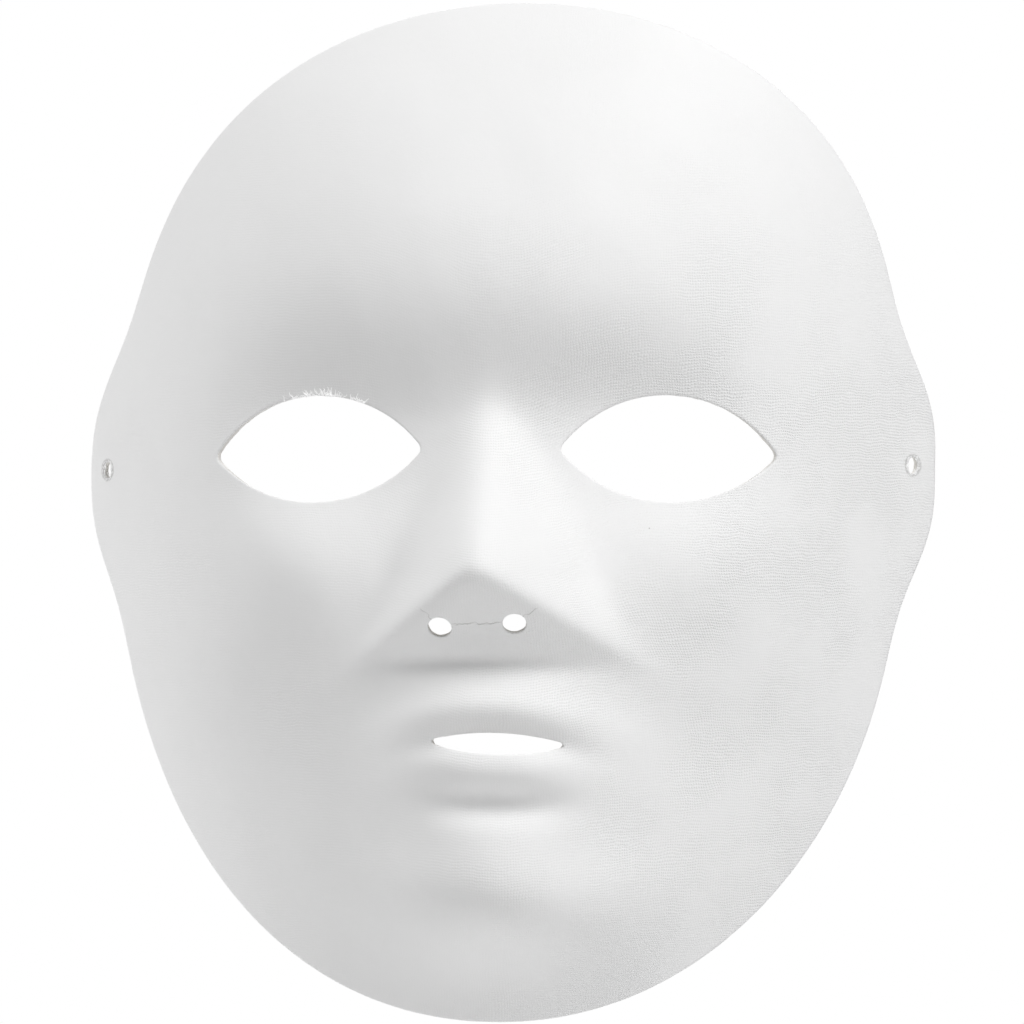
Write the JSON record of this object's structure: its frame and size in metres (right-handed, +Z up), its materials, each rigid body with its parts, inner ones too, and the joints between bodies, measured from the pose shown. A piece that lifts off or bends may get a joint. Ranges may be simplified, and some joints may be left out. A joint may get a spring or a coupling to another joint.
{
  "type": "blank full-face mask",
  "caption": "Blank white full-face craft mask: oval laminated face shell with almond eye openings, pyramid nose, mouth slot and strap holes at the temples.",
  "frame": {"origin": "midway between the two strap holes, on the outer skin", "axes": "+X to the viewer's right when looking at the face, +Y to the back, towards the wearer, +Z up to the crown; the face looks along -Y"},
  "size_m": [0.1878, 0.0807, 0.22],
  "materials": {
    "sized_gauze": "matte",
    "moulded_pulp": "matte",
    "lining_cloth": "matte"
  },
  "bodies": {
    "root": {"gauze_face_layer": "sized_gauze", "pulp_core_shell": "moulded_pulp", "backing_lining": "lining_cloth"}
  },
  "joints": []
}
